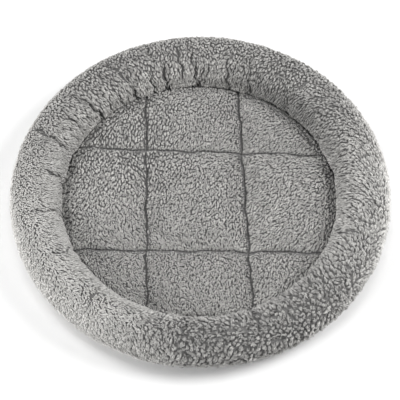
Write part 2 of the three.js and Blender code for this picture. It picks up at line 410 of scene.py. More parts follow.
around = np.linspace(0, 360, PAD_SECTORS, endpoint=False)
across_x, across_y = np.cos(np.radians(around)), np.sin(np.radians(around))
rim = seam_radius(around) - SEAM_GAP
pad_rows = []
for share in np.linspace(FIRST_RING, 1, PAD_RINGS):
    under = (PILE_DEPTH + SWELL) * min(1, (1 - share) * SINKS_AT_RIM)
    pad_rows.append(pad_surface(rim * share * across_x, rim * share * across_y, under))
for corner in np.linspace(0, math.pi / 2, BOTTOM_ROWS)[1:]:
    radius = rim - BOTTOM_INSET * (1 - math.cos(corner))
    height = np.full(PAD_SECTORS, SEAM_HEIGHT * (1 - math.sin(corner)))
    pad_rows.append(np.stack([radius * across_x, radius * across_y, height], -1))
pad_points = np.concatenate(pad_rows + [[[0, 0, pad_rows[0][0, 2]], [0, 0, 0]]])
first = np.arange(PAD_SECTORS)
last = first + (len(pad_rows) - 1) * PAD_SECTORS
top_fan = np.stack([np.full(PAD_SECTORS, len(pad_points) - 2), first, np.roll(first, -1)], -1)
bottom_fan = np.stack([np.full(PAD_SECTORS, len(pad_points) - 1), np.roll(last, -1), last], -1)
pad_faces = [grid_faces(len(pad_rows), PAD_SECTORS)[:, ::-1], top_fan, bottom_fan]
pad_cloth = mesh_object("pad_cloth", pad_points, pad_faces)


def keep_evaluated(piece):
    """Makes what the piece's modifiers give its own mesh."""
    made = bpy.data.meshes.new_from_object(piece.evaluated_get(bpy.context.evaluated_depsgraph_get()))
    piece.modifiers.clear()
    piece.data = made


remesh = pad_cloth.modifiers.new("even faces", "REMESH")
remesh.mode = "VOXEL"
remesh.voxel_size = VOXEL
remesh.use_smooth_shade = True
keep_evaluated(pad_cloth)
print(len(pad_cloth.data.vertices), "points after the remesh")

# %% [markdown]
# Where the cloth is held
#
# Stuffed cloth swells wherever nothing stops it. On this bed the floor, the seam, the quilting lines and
# the drawn-in gathers stop it. The simulation takes this as a weight for each point, from 0 for free cloth
# to 1 for cloth that may not move.

# %% Where the cloth is held
HELD_AT_DEPTH = 2.5 * MM  # gathers as deep as this hold the cloth fast
HELD_OUTSIDE = 0.75  # the outer side is drawn tight, so it hardly puckers
OUTSIDE_ENDS = (25, 85)
HELD_BESIDE_LINE = 3.5 * MM
HELD_BESIDE_SEAM = 5 * MM


def line_distance(x, y):
    along_x = distance_to_lines(x, y, LINES_ACROSS_X)
    along_y = distance_to_lines(y, x, LINES_ACROSS_Y)
    return np.minimum(along_x, along_y)


def places(piece):
    flat = np.empty(3 * len(piece.data.vertices), np.float32)
    piece.data.vertices.foreach_get("co", flat)
    return flat.reshape(-1, 3).astype(float)


angle_grid, turn_grid = np.broadcast_arrays(angles, turns)
bolster_held = np.clip(gather_depth(angle_grid, turn_grid) / HELD_AT_DEPTH, 0, 1)
outer_side = 1 - smoothstep(from_below(turn_grid), *OUTSIDE_ENDS)
bolster_held = np.maximum(bolster_held, HELD_OUTSIDE * outer_side)
bolster_held = np.maximum(bolster_held, 1 - on_pile_side(turn_grid)).ravel()
pad_x, pad_y, pad_z = places(pad_cloth).T
from_seam = inside_seam(pad_x, pad_y)
pad_held = near(line_distance(pad_x, pad_y), HELD_BESIDE_LINE)
pad_held = np.maximum(pad_held, 1 - smoothstep(from_seam, HELD_BESIDE_SEAM, 2 * HELD_BESIDE_SEAM))
pad_held = np.where(pad_z < SEAM_HEIGHT, 1, pad_held)
print(f"held fast: {(bolster_held > 0.5).mean():.0%} of the bolster")
print(f"held fast: {(pad_held > 0.5).mean():.0%} of the pad")

# %% [markdown]
# Stuffing the cloth
#
# The folds between the gathers could be sculpted, but a cloth simulation finds them by itself, and they
# come out as they do on a sewing table. The cloth is cut a little too large and gets pressure from inside.
# Where it has no room it puckers. How far a point may move is capped smoothly, so that the bed keeps its
# size.

# %% Stuffing the cloth
FRAMES = 20
PRESSURE = 6.0
SPARE_CLOTH = 0.02
MOST_MOVED = 2.2 * MM
TINY = 1e-9  # so that a point that stays isn't divided by nothing


def stuff(piece, held):
    """Lets the piece swell and pucker, and keeps its new points."""
    before = places(piece)
    group = piece.vertex_groups.new(name="held")
    levels = np.round(held, 2)
    for level in np.unique(levels[levels > 0]):
        group.add(np.flatnonzero(levels == level).tolist(), float(level), "REPLACE")
    cloth = piece.modifiers.new("stuffing", "CLOTH")
    cloth.settings.use_pressure = True
    cloth.settings.uniform_pressure_force = PRESSURE
    cloth.settings.effector_weights.gravity = 0
    cloth.settings.vertex_group_mass = group.name
    cloth.settings.shrink_min = -SPARE_CLOTH
    cloth.collision_settings.use_collision = False
    cloth.collision_settings.use_self_collision = False
    cloth.point_cache.frame_end = FRAMES
    for moment in range(1, FRAMES + 1):
        bpy.context.scene.frame_set(moment)
    swollen = piece.evaluated_get(bpy.context.evaluated_depsgraph_get())
    after = np.empty(before.size, np.float32)
    swollen.data.vertices.foreach_get("co", after)
    moved = after.reshape(-1, 3) - before
    far = np.maximum(np.linalg.norm(moved, axis=1, keepdims=True), TINY)
    moved *= np.tanh(far / MOST_MOVED) * MOST_MOVED / far
    after = before + moved
    after[:, 2] = np.maximum(after[:, 2], 0)
    piece.modifiers.remove(cloth)
    piece.vertex_groups.clear()
    bpy.context.scene.frame_set(1)
    piece.data.vertices.foreach_set("co", after.astype(np.float32).ravel())
    piece.data.update()
    print(f"{piece.name}: moved {np.linalg.norm(moved, axis=1).mean() / MM:.1f} mm on average")


stuff(bolster_cloth, bolster_held)
stuff(pad_cloth, pad_held)
for piece in (bolster_cloth, pad_cloth):
    finer = piece.modifiers.new("finer", "SUBSURF")
    finer.levels = finer.render_levels = 1
    keep_evaluated(piece)
    piece.data.polygons.foreach_set("use_smooth", [True] * len(piece.data.polygons))
    print(piece.name, len(piece.data.polygons), "faces")

# %% [markdown]
# Where the threads draw in
#
# A gather thread bites into the cloth more sharply than a simulation on faces of a few millimetres can
# show, so narrow creases are added to the gathers, with some fine ones between them. Most start near the
# seam, and each runs as far up, or up and over the top, as its row says. One function tells how strongly a
# place lies in a crease, because the cloth, the sowing of the pile and its paint all ask for that.

# %% Where the threads draw in
# turn where each crease starts and ends, angle round the bed at its start and end, and how strong it is
CREASES = [
    (214, 66, 135.8, 143.5, 1.0),
    (200, 54, 163.8, 159.0, 1.0),
    (214, 112, 117.8, 121.5, 1.0),
    (128, 66, 121.5, 124.2, 0.6),
    (214, 120, 104.0, 105.6, 1.0),
    (120, 52, 108.3, 109.2, 0.6),
    (214, 140, 110.0, 111.4, 0.6),
    (160, 80, 97.3, 98.7, 0.8),
    (214, 106, 90.0, 93.5, 1.0),
    (205, 124, 89.6, 86.4, 0.7),
    (205, 78, 125.6, 129.2, 0.5),
    (195, 125, 131.4, 133.6, 0.4),
    (175, 100, 148.6, 150.8, 0.55),
    (190, 120, 154.8, 154.0, 0.4),
    (205, 106, 76.8, 79.0, 0.6),
    (205, 104, 66.4, 70.2, 0.7),
    (214, 140, 49.0, 50.0, 0.4),
    (112, 64, 8.0, 9.8, 0.5),
    (165, 88, 337.6, 338.6, 0.6),
    (200, 60, 318.6, 315.6, 0.6),
    (106, 60, 300.4, 300.0, 0.6),
    (190, 58, 288.6, 289.6, 0.5),
    (110, 58, 262.0, 269.6, 0.6),
    (150, 82, 252.0, 257.4, 0.7),
    (106, 74, 224.6, 229.6, 0.7),
    (120, 76, 229.2, 232.2, 0.7),
    (214, 96, 209.0, 210.0, 0.6),
    (214, 84, 191.0, 192.0, 0.7),
    (214, 110, 176.0, 175.0, 0.6),
]
WEAKER_AT_SEAM = 0.35
CREASE_WANDERS = 0.5  # degrees to each side, so that no crease is ruled straight
CREASE_WAVES = 9  # how often it would wander to and fro in a full turn
CREASE_FADES_IN = (-10, 8)  # turns before and after its end on the crown
CREASE_FADES_OUT = 6
WEAKENS_FROM, WEAKENS_TO = 25, 5  # turns before the seam


def crease(angle, turn, reach):
    """How strongly a place lies in a crease, from 0 to 1, that reaches so far to each side."""
    strength = np.zeros(len(angle))
    for start, end, first_angle, last_angle, strong in CREASES:
        fades_from, fades_to = CREASE_FADES_IN
        along = smoothstep(turn, end + fades_from, end + fades_to)
        along = along * (1 - smoothstep(turn, start, start + CREASE_FADES_OUT))
        along = along * (1 - WEAKER_AT_SEAM * smoothstep(turn, start - WEAKENS_FROM, start - WEAKENS_TO))
        share = np.clip((start - turn) / (start - end), 0, 1)
        centre = first_angle + (last_angle - first_angle) * share
        centre = centre + CREASE_WANDERS * np.sin(np.radians(CREASE_WAVES * turn) + first_angle)
        strength = np.maximum(strength, strong * along * near(to_side(angle, centre), reach))
    return strength


print(len(CREASES), "creases")

# %% [markdown]
# Pressing the creases in
#
# The cloth is pressed in along its own normals, so that a crease goes straight in wherever the stuffing has
# turned the cloth. The table places the creases by angle and turn, so these are worked back from where each
# point is. The thread of the quilting lines bites into the pad in the same way.

# %% Pressing the creases in
CREASE_HALF_WIDTH = 2.3 * MM
CREASE_DEPTH = 3.2 * MM
LINE_BITE = 1.5 * MM
LINE_HALF_WIDTH = 1.4 * MM


def bite(x, y):
    """How deep the quilting thread bites."""
    return LINE_BITE * near(line_distance(x, y), LINE_HALF_WIDTH)


def angle_and_turn(points):
    """Where points of the bolster lie, as the gathers count it."""
    x, y, z = points.T
    out = np.hypot(x, y)
    angle = np.degrees(np.arctan2(y, x)) % 360
    turn = np.degrees(np.arctan2(z - TUBE_CENTRE_HEIGHT, out - (OUTER_RADIUS - tube_half_width(angle)))) % 360
    return angle, np.where(turn > 270, turn - 360, turn)


def pressed_in(piece, depths):
    normals = np.empty(3 * len(piece.data.vertices), np.float32)
    piece.data.vertex_normals.foreach_get("vector", normals)
    moved = places(piece) - normals.reshape(-1, 3) * depths[:, None]
    piece.data.vertices.foreach_set("co", moved.astype(np.float32).ravel())
    piece.data.update()
    print(f"{piece.name}: pressed in by up to {depths.max() / MM:.1f} mm")


pressed_in(bolster_cloth, CREASE_DEPTH * crease(*angle_and_turn(places(bolster_cloth)), CREASE_HALF_WIDTH))
pad_x, pad_y, pad_z = places(pad_cloth).T
pressed_in(pad_cloth, np.where(pad_z > SEAM_HEIGHT, bite(pad_x, pad_y), 0))

# %% [markdown]
# Slow variation
#
# Neighbouring locks lean much the same way, and the direction wanders over the cloth as washing and
# handling left it. A smooth random field does that. It is a sum of a few dozen waves in random directions,
# which is quick to work out for many thousands of points, and the fixed seed makes each run give the same
# bed. Many of the values that follow are pairs, such as one for straight and one for curly pile, and a
# helper finds what lies between them.

# %% Slow variation
SEED = 7
WAVES = 40
WAVE_LENGTHS = (0.7, 1.5)  # the shortest and the longest, as shares of the given length

rng = np.random.default_rng(SEED)


def wandering(points, wavelength):
    """A smooth random field of about unit strength, from waves of roughly the given length."""
    directions = unit(rng.normal(size=(WAVES, 3)))
    rates = 2 * math.pi / (wavelength * rng.uniform(*WAVE_LENGTHS, WAVES))
    phases = rng.uniform(0, 2 * math.pi, WAVES)
    total = np.zeros(len(points))
    for direction, rate, phase in zip(directions, rates, phases):
        total += np.cos(points @ direction * rate + phase)
    return total * math.sqrt(2 / WAVES)


def between(ends, share):
    """A value between two ends: the first where the share is 0, the second where it is 1."""
    return np.interp(share, (0, 1), ends)


print("random numbers start from seed", SEED)

# %% [markdown]
# The pile round the bed
#
# The pile isn't the same all over: at the front it is curled into round clumps, on the left it lies smooth,
# and on the inner wall the seam has drawn it into long ones. A short table, read off, says how it is
# round the bed, and everything that follows looks its value up there.

# %% The pile round the bed
FINER_AT_SEAM = 0.1
FINER_TURNS = (110, 170)
COARSER_BELOW = 0.35  # on the outer side, low down
BELOW_TURNS = (-35, 10)
# angle round the bed, how coarse the pile is there, how large its clumps are, how much it is drawn into
# them, how curly it is, and how light it looks on top of the bolster and on its inner wall, partly from its
# nap and partly as painted light and shade
PILE_ROUND_THE_BED = [
    (0, 1.0, 1.5, 0.6, 0.35, 1.2, 0.95),
    (40, 0.9, 1.3, 0.75, 0.6, 0.9, 0.7),
    (65, 0.95, 1.5, 0.9, 0.35, 0.95, 0.75),
    (90, 0.9, 1.5, 0.75, 0.25, 1.05, 1.2),
    (130, 0.95, 1.7, 0.85, 0.15, 0.95, 1.2),
    (165, 1.0, 1.7, 0.25, 0.15, 1.1, 1.15),
    (190, 1.05, 1.8, 0.05, 0.05, 1.4, 1.2),
    (240, 1.1, 1.7, 0.1, 0.1, 1.35, 1.15),
    (268, 1.0, 1.7, 0.9, 0.9, 0.75, 0.85),
    (305, 1.0, 1.8, 0.9, 0.85, 0.8, 0.85),
    (335, 1.05, 1.5, 0.7, 0.6, 1.0, 0.95),
]
ROUND, COARSE, CLUMP_SIZE, CLUMPED, CURLY, LIGHT, WALL_LIGHT = np.array(PILE_ROUND_THE_BED).T


def round_bed(values, angle):
    """A column of the table, between its rows."""
    return np.interp(angle % 360, ROUND, values, period=360)


def coarseness(angle, turn):
    at_seam = FINER_AT_SEAM * smoothstep(turn, *FINER_TURNS)
    below = COARSER_BELOW * (1 - smoothstep(turn, *BELOW_TURNS))
    return round_bed(COARSE, angle) * (1 - at_seam + below)


curls = round_bed(CURLY, np.arange(0, 360, 90)).round(2)
print("how curly the pile is at the right, back, left and front:", curls)

# %% [markdown]
# Sowing the pile
#
# Lambswool fleece is knitted with its pile in rows, and the pile then felts into clumps a few millimetres
# wide. So roots are laid in rows and shaken a little, once closely for the locks and once more widely for
# the middles of the clumps.

# %% Sowing the pile
LOCK_SPACING = 2.12 * MM
CLUMP_SPACING = 4.5 * MM
PAD_LOCK_SPACING = 2.08 * MM
PAD_CLUMP_SPACING = 5.6 * MM
ROW_SHARE = 0.866  # distance between rows as a share of the spacing in them
SHAKEN = 0.36  # how far a root is shaken, as a share of the spacing
ANGLE_STEP = 0.5  # degrees, for counting how many roots fit into a row
SOWN_PAST_SEAM = 2  # degrees of turn
PAD_PILE_INSET = 1.8 * MM  # how far from the seam the pad's pile starts


def sown_on_bolster(spacing, sizes):
    """Angle and turn of roots laid in rows round the bolster, farther apart where the pile is coarse."""
    fine_angles = np.arange(0, 360 + ANGLE_STEP, ANGLE_STEP)
    spaced = spacing * round_bed(sizes, fine_angles)
    found = []
    step = math.degrees(spacing * ROW_SHARE / TUBE_HALF_WIDTH)
    for turn in np.arange(PILE_FROM_TURN, SEAM_TURN + SOWN_PAST_SEAM, step):
        radius = OUTER_RADIUS - TUBE_HALF_WIDTH + TUBE_HALF_WIDTH * math.cos(math.radians(turn))
        per_degree = radius * math.pi / 180 / (spaced * coarseness(fine_angles, turn) ** 2)
        passed = np.concatenate([[0], np.cumsum((per_degree[1:] + per_degree[:-1]) / 2 * ANGLE_STEP)])
        count = int(passed[-1])
        wanted = (np.arange(count) + rng.uniform() + rng.uniform(-SHAKEN, SHAKEN, count)) * passed[-1] / count
        angle = np.interp(wanted % passed[-1], passed, fine_angles)
        found.append(np.stack([angle, turn + step * rng.uniform(-SHAKEN, SHAKEN, count)]))
    return np.concatenate(found, axis=1)


def sown_on_pad(spacing):
    """Places of roots laid in rows across the pad."""
    rows, columns = np.meshgrid(
        np.arange(-OUTER_RADIUS, OUTER_RADIUS, spacing * ROW_SHARE),
        np.arange(-OUTER_RADIUS, OUTER_RADIUS, spacing),
        indexing="ij",
    )
    every_other = 0.5 * (np.arange(len(rows)) % 2)[:, None]
    columns = columns + spacing * (every_other + rng.uniform(-SHAKEN, SHAKEN, rows.shape))
    rows = rows + spacing * rng.uniform(-SHAKEN, SHAKEN, rows.shape)
    x, y = columns.ravel(), rows.ravel()
    inside = inside_seam(x, y) > PAD_PILE_INSET
    return x[inside], y[inside]


lock_angle, lock_turn = sown_on_bolster(LOCK_SPACING, np.ones(len(ROUND)))
clump_angle, clump_turn = sown_on_bolster(CLUMP_SPACING, CLUMP_SIZE)
lock_x, lock_y = sown_on_pad(PAD_LOCK_SPACING)
clump_x, clump_y = sown_on_pad(PAD_CLUMP_SPACING)
print(f"bolster: {len(lock_angle)} roots, {len(clump_angle)} clumps")
print(f"pad: {len(lock_x)} roots, {len(clump_x)} clumps")

# %% [markdown]
# Short pile in the creases
#
# Where a gather or a quilting line pulls the cloth in, the pile parts and a dark crease shows. Roots that
# would stand right in a crease are left out, and those beside it stay short and aren't drawn into clumps,
# so that the crease stays thin. The seam is treated the same way: the sewing takes the last two millimetres
# of fleece in, so a narrow bare strip runs along it. Where the pile is curly a tenth of the roots is
# missing too, which lets the clumps show one by one.

# %% Short pile in the creases
BARE_ABOVE = 0.28  # crease strength from which no lock grows
BESIDE_CREASE = 4.5 * MM
BARE_BESIDE_LINE = 0.75 * MM
SHORT_BESIDE_LINE = 2.4 * MM
SHORTEST = 0.45
SHORTEST_BESIDE_LINE = 0.9
SHORT_ABOVE_SEAM = 4 * MM
# how far from the seam locks start to be drawn into clumps, and how far from it they fully are
UNDRAWN_ABOVE_SEAM = (1.2 * MM, 7.3 * MM)
UNDRAWN_INSIDE_SEAM = (PAD_PILE_INSET, 5 * MM)
BARE_ABOVE_SEAM = 2.2 * MM
THINNED = 0.1  # share of locks missing where the pile is fully curly


def height_above_seam(turn):
    """How far above the seam a place on the bolster's inner wall lies, along the cloth."""
    return np.radians(SEAM_TURN - turn) * TUBE_HALF_WIDTH


bolster_crease = crease(lock_angle, lock_turn, CREASE_HALF_WIDTH)
missing = rng.uniform(0, 1, len(lock_angle)) < THINNED * round_bed(CURLY, lock_angle)
kept = (bolster_crease < BARE_ABOVE) & ~missing & (height_above_seam(lock_turn) > BARE_ABOVE_SEAM)
lock_angle, lock_turn, bolster_crease = lock_angle[kept], lock_turn[kept], bolster_crease[kept]
above_seam = height_above_seam(lock_turn)
bolster_length_share = 1 - (1 - SHORTEST) * np.maximum(bolster_crease, 1 - above_seam / SHORT_ABOVE_SEAM)
bolster_free = 1 - crease(lock_angle, lock_turn, BESIDE_CREASE)
bolster_free = bolster_free * smoothstep(above_seam, *UNDRAWN_ABOVE_SEAM)
beside_line = line_distance(lock_x, lock_y)
kept_on_pad = beside_line > BARE_BESIDE_LINE
lock_x, lock_y, beside_line = lock_x[kept_on_pad], lock_y[kept_on_pad], beside_line[kept_on_pad]
pad_free = smoothstep(beside_line, BARE_BESIDE_LINE, SHORT_BESIDE_LINE)
pad_length_share = SHORTEST_BESIDE_LINE + (1 - SHORTEST_BESIDE_LINE) * pad_free
pad_free = pad_free * smoothstep(inside_seam(lock_x, lock_y), *UNDRAWN_INSIDE_SEAM)
print(f"left out: {(~kept).sum()} on the bolster and {(~kept_on_pad).sum()} on quilting lines")

# %% [markdown]
# Feet on the cloth
#
# The simulation moved the cloth, so the formula no longer says exactly where it is. A line sent in from
# outside finds it. Each root gets its foot there, with the direction out of the cloth at that spot.

# %% Feet on the cloth
SENT_FROM = 12 * MM


def feet_on(cloth, points, normals):
    """Where lines sent in through the points meet the cloth, the way out of it there, and which met it."""
    tree = BVHTree.FromObject(cloth, bpy.context.evaluated_depsgraph_get())
    starts = points + normals * SENT_FROM
    hits = [tree.ray_cast(start, -normal, 2 * SENT_FROM) for start, normal in zip(starts, normals)]
    met = np.array([place is not None for place, *_ in hits])
    feet = np.array([place for place, *_ in hits if place is not None])
    outs = np.array([out for place, out, *_ in hits if place is not None])
    return feet, unit(outs + normals[met]), met


def bolster_roots(angle, turn):
    out = outward(bolster_surface, angle, turn, NUDGE_DEGREES)
    return feet_on(bolster_cloth, bolster_surface(angle, turn), out)


def pad_roots(x, y):
    out = outward(pad_surface, x, y, NUDGE)
    return feet_on(pad_cloth, pad_surface(x, y), out)


bolster_feet, bolster_out, met = bolster_roots(lock_angle, lock_turn)
lock_angle, lock_turn = lock_angle[met], lock_turn[met]
bolster_length_share, bolster_free = bolster_length_share[met], bolster_free[met]
clump_feet = bolster_roots(clump_angle, clump_turn)[0]
pad_feet, pad_out, met = pad_roots(lock_x, lock_y)
lock_x, lock_y, pad_length_share, pad_free = lock_x[met], lock_y[met], pad_length_share[met], pad_free[met]
pad_clump_feet = pad_roots(clump_x, clump_y)[0]
print(f"{len(bolster_feet)} feet on the bolster, {len(pad_feet)} on the pad")

# %% [markdown]
# Combing the pile
#
# Fleece has a nap: its locks lie over to one side. On top of the bolster that side changes round the bed,
# and a table gives it. On the inner wall the seam has drawn the locks round until they point down at the
# pad, so the nap swings from the one direction to the other on the way down. A slow drift over the cloth is
# added, stronger where the pile is curly.

# %% Combing the pile
DRIFTS = (0.12, 0.4)  # how far the nap wanders, in radians, where the pile is straight and where it is curly
LONG_DRIFT = 50 * MM
SHORT_DRIFT = 14 * MM
SHORT_SHARE = 0.5
# angle round the bed, and where the nap points to there on top: 0 is right, 90 back, 180 left and 270 front
NAP_ON_TOP = [
    (0, 150),
    (45, 220),
    (90, 272),
    (135, 310),
    (180, 318),
    (225, 306),
    (250, 290),
    (275, 215),
    (300, 140),
    (335, 120),
]
NAP_ANGLES, NAP_POINTS_TO = np.array(NAP_ON_TOP).T
NAP_DOWN = 0.5  # how far it lies down on steep walls
SWINGS_FROM = 85  # turn at which the nap starts to swing round to point at the pad
EARLIER_AT_BACK = 25
SWINGS_WITHIN = 45
STRAIGHT_ON_WALL = 0.7
WALL_TURNS = (95, 145)  # turns between which the top of the bolster gives way to its inner wall
TO_PAD_DOWN = 1.5  # how steeply the nap on the wall points down at the pad


def laid_on(outs, towards):
    """Directions laid flat on the cloth."""
    return unit(towards - outs * np.sum(towards * outs, axis=1, keepdims=True))


def turned(directions, outs, by):
    """Directions on the cloth, each turned by its own number of radians."""
    return np.cos(by)[:, None] * directions + np.sin(by)[:, None] * np.cross(outs, directions)


def drift(feet, curly):
    return between(DRIFTS, curly) * (wandering(feet, LONG_DRIFT) + SHORT_SHARE * wandering(feet, SHORT_DRIFT))


def nap_on_bolster(angle, turn, feet, outs, curly):
    points_to = np.radians(np.interp(angle % 360, NAP_ANGLES, NAP_POINTS_TO, period=360))
    main = laid_on(outs, np.stack([np.cos(points_to), np.sin(points_to), np.full(len(angle), -NAP_DOWN)], -1))
    inward = np.radians(angle) + math.pi
    to_pad = laid_on(outs, np.stack([np.cos(inward), np.sin(inward), np.full(len(angle), -TO_PAD_DOWN)], -1))
    apart = np.arctan2(np.sum(np.cross(main, to_pad) * outs, axis=1), np.sum(main * to_pad, axis=1))
    swings_from = SWINGS_FROM - EARLIER_AT_BACK * np.sin(np.radians(angle))
    swing = apart * smoothstep(turn, swings_from, swings_from + SWINGS_WITHIN)
    return turned(main, outs, swing + drift(feet, curly))


bolster_curly = round_bed(CURLY, lock_angle)
bolster_curly = bolster_curly * (1 - STRAIGHT_ON_WALL * smoothstep(lock_turn, *WALL_TURNS))
bolster_nap = nap_on_bolster(lock_angle, lock_turn, bolster_feet, bolster_out, bolster_curly)
print("mean nap on the bolster:", bolster_nap.mean(0).round(2))

# %% [markdown]
# The pad's nap
#
# The pad was brushed from the back to the front, and each side of it slants a little differently. Again a
# short table says how the pile is round the pad. In the middle of the pad the differences even out, so that
# no wedges show.

# %% The pad's nap
# angle round the pad's middle, how far its nap slants to the right for each step to the front, how much
# the pile there is drawn into clumps, how curly it is, and how light it looks, partly from its nap and
# partly as painted light and shade
PAD_PILE = [
    (0, -0.8, 0.5, 0.05, 1.05),
    (45, -1.0, 0.4, 0.05, 1.0),
    (90, -0.15, 0.4, 0.15, 1.05),
    (140, -0.1, 0.9, 0.05, 1.1),
    (180, 0.0, 0.5, 0.1, 1.15),
    (230, 0.3, 0.2, 0.3, 1.1),
    (270, 0.1, 0.3, 0.3, 1.05),
    (315, -0.4, 0.35, 0.2, 1.1),
]
PAD_ROUND, PAD_SLANT, PAD_CLUMPED, PAD_CURLY, PAD_LIGHT = np.array(PAD_PILE).T
EVEN_MIDDLE = (20 * MM, 90 * MM)  # how far out the pad's middle is alike all round, and where that ends


def over_pad(values, x, y):
    """A value that changes round the pad and evens out towards its middle."""
    round_it = np.interp(np.degrees(np.arctan2(y, x)) % 360, PAD_ROUND, values, period=360)
    outer = smoothstep(np.hypot(x, y), *EVEN_MIDDLE)
    return values.mean() + (round_it - values.mean()) * outer


pad_curly = over_pad(PAD_CURLY, lock_x, lock_y)
slant = over_pad(PAD_SLANT, lock_x, lock_y)
pad_towards = np.stack([slant, -np.ones(len(slant)), np.zeros(len(slant))], -1)
pad_nap = turned(laid_on(pad_out, pad_towards), pad_out, drift(pad_feet, pad_curly))
print("mean nap on the pad:", pad_nap.mean(0).round(2))

# %% [markdown]
# Felting into clumps
#
# Each lock belongs to the nearest clump, where near is measured so that clumps come out longer along the
# nap than across it, and round where the pile is curly. A search tree finds the few clumps around each lock
# quickly. Curly clumps have also been rubbed out of the nap. The locks of one clump felted together, so
# they are turned together, and each lock strays only a little from its clump.

# %% Felting into clumps
CLUMPS_AROUND = 6
CLUMP_LENGTHS = (3.4, 1.0)  # in widths, where the pile is straight and where it is curly
CLUMPS_TURNED = 0.8  # how far whole clumps are turned off the nap where the pile is curly, in radians
STRAYING = (0.16, 0.4)  # how far a lock leans off its clump, in radians, straight and curly


def clump_of(feet, nap, curly, centres):
    """The number of the clump that each lock belongs to."""
    tree = KDTree(len(centres))
    for number, centre in enumerate(centres):
        tree.insert(centre, number)
    tree.balance()
    closest = np.array([[number for _, number, _ in tree.find_n(foot, CLUMPS_AROUND)] for foot in feet])
    apart = centres[closest] - feet[:, None, :]
    along = np.sum(apart * nap[:, None, :], axis=2)
    across = np.sum(apart**2, axis=2) - along**2
    length = between(CLUMP_LENGTHS, curly)[:, None]
    choice = np.argmin((along / length) ** 2 + across, axis=1)
    return closest[np.arange(len(feet)), choice]


def combed(nap, outs, clump, curly):
    """The way each lock lies: turned off the nap with its clump, and by a little of its own."""
    own = rng.normal(0, 1, len(nap)) * between(STRAYING, curly)
    shared = rng.normal(0, 1, clump.max() + 1)[clump] * CLUMPS_TURNED * curly**2
    return turned(nap, outs, own + shared)


bolster_clump = clump_of(bolster_feet, bolster_nap, bolster_curly, clump_feet)
pad_clump = clump_of(pad_feet, pad_nap, pad_curly, pad_clump_feet)
bolster_comb = combed(bolster_nap, bolster_out, bolster_clump, bolster_curly)
pad_comb = combed(pad_nap, pad_out, pad_clump, pad_curly)
print(f"{len(bolster_clump) / len(np.unique(bolster_clump)):.1f} locks in a clump on the bolster")

# %% [markdown]
# A lock of fleece
#
# One lock is a soft horn. It rises from its foot, bends at a knee and comes down to a tip, as a bundle of
# crimped fibres does. A curve drawn by these three points gives its line, and three corners on each of two
# rings along it give its body, one of them uppermost as a ridge. That is only seven points, because there
# are so many locks. All of them are worked out at once: every value is an array with one row for each lock.

# %% A lock of fleece
LOCK_SIDES = 3
# how far along the lock each ring lies, and its width there as a share of the full width
LOCK_RINGS = [(0.0, 0.8), (0.62, 1.0)]
POINTS_EACH = LOCK_SIDES * len(LOCK_RINGS) + 1


def lock_points(root, knee, tip, side, width, thickness):
    rings = []
    for t, share in LOCK_RINGS:
        middle = (1 - t) ** 2 * root + 2 * t * (1 - t) * knee + t * t * tip
        heading = unit((1 - t) * (knee - root) + t * (tip - knee))
        broad = unit(side - heading * np.sum(side * heading, axis=1, keepdims=True))
        thick = np.cross(heading, broad)
        for corner in range(LOCK_SIDES):
            turn = math.pi / 2 + 2 * math.pi * corner / LOCK_SIDES
            off = math.cos(turn) * broad * width + math.sin(turn) * thick * thickness
            rings.append(middle + off * share / 2)
    return np.stack(rings + [tip], axis=1)


def faces_of_one_lock():
    """Four-cornered faces of one lock, and its three-cornered ones."""
    sides = np.arange(LOCK_SIDES)
    beside = (sides + 1) % LOCK_SIDES
    starts = [ring * LOCK_SIDES for ring in range(len(LOCK_RINGS) - 1)]
    one_wall = np.stack([sides, beside, LOCK_SIDES + beside, LOCK_SIDES + sides], -1)
    walls = [start + one_wall for start in starts]
    top = starts[-1] + LOCK_SIDES
    end = np.stack([top + sides, top + beside, np.full(LOCK_SIDES, top + LOCK_SIDES)], -1)
    return np.concatenate(walls), np.concatenate([end, sides[::-1][None, :]])


def lock_faces(count):
    offsets = (np.arange(count) * POINTS_EACH)[:, None, None]
    return [(faces + offsets).reshape(-1, faces.shape[1]) for faces in faces_of_one_lock()]


print(POINTS_EACH, "points a lock")

# %% [markdown]
# Growing the fleece
#
# Now each lock gets its length, its bend and its place in the clump. The tips of one clump are drawn
# together, which opens the thin dark slits that make fleece look like fleece. A curly clump is a small
# dome, lower at its edge and painted paler in its middle and darker at its edge, and some stand prouder than
# others. What the paint needs later is kept with the points: how far up the lock a point lies, made into
# painted shade that is deepest in open slits, and a random number for its lock and for its clump.

# %% Growing the fleece
PILE_HEIGHT = 3.8 * MM
# straight locks are long and slim, curly ones short and broad
LOCK_LENGTHS = (6.0 * MM, 4.4 * MM)
LOCK_WIDTHS = (2.3 * MM, 2.6 * MM)
THINNESS = (0.3, 0.75)  # thickness as a share of the width, where clumps are loose and where they are drawn
# painted shade between the locks: how dark it is painted down in the slits, and how much more at a curly
# clump's edge
SLIT_SHADES = (0.15, 1.3)  # how dark it gets down between the locks
MIDDLE_AND_EDGE = (-0.6, 0.4)  # what the middle and the edge of a curly clump add to that, as a share
GRAINS = (0.12, 1.0)  # how unlike neighbouring locks are in tone, in loose clumps and in drawn ones
LOOSE_AND_DRAWN = (0, 0.9)  # the shares between which a clump goes from loose to drawn
ROOT_BELOW = 1 * MM  # how far under the cloth a lock's foot is anchored
HEIGHT_SPREAD = (0.8, 1.0)
LENGTH_SPREAD = 0.15
WIDTH_SPREAD = (0.75, 1.2)
KNEE_ALONG = 0.35
KNEE_ABOVE = 1.15
KNEE_DRAWN = 0.5
LOWEST_TIPS = (0.85, 0.45)  # of the pile's height, where clumps are loose and where they are drawn
SIDEWAYS = (0.25 * MM, 1.1 * MM)  # how far knees bend to the side, straight and curly
UNEVEN = (0.3 * MM, 1.2 * MM)
PULLED = (0.3, 1.5)  # how unlike the clumps are in how tightly they are drawn together
MOST_DRAWN = 0.95
DOMED = (0.1, 0.45)  # how much lower a clump's edge is than its middle, straight and curly
FLOOR_CLEARANCE = 0.4 * MM


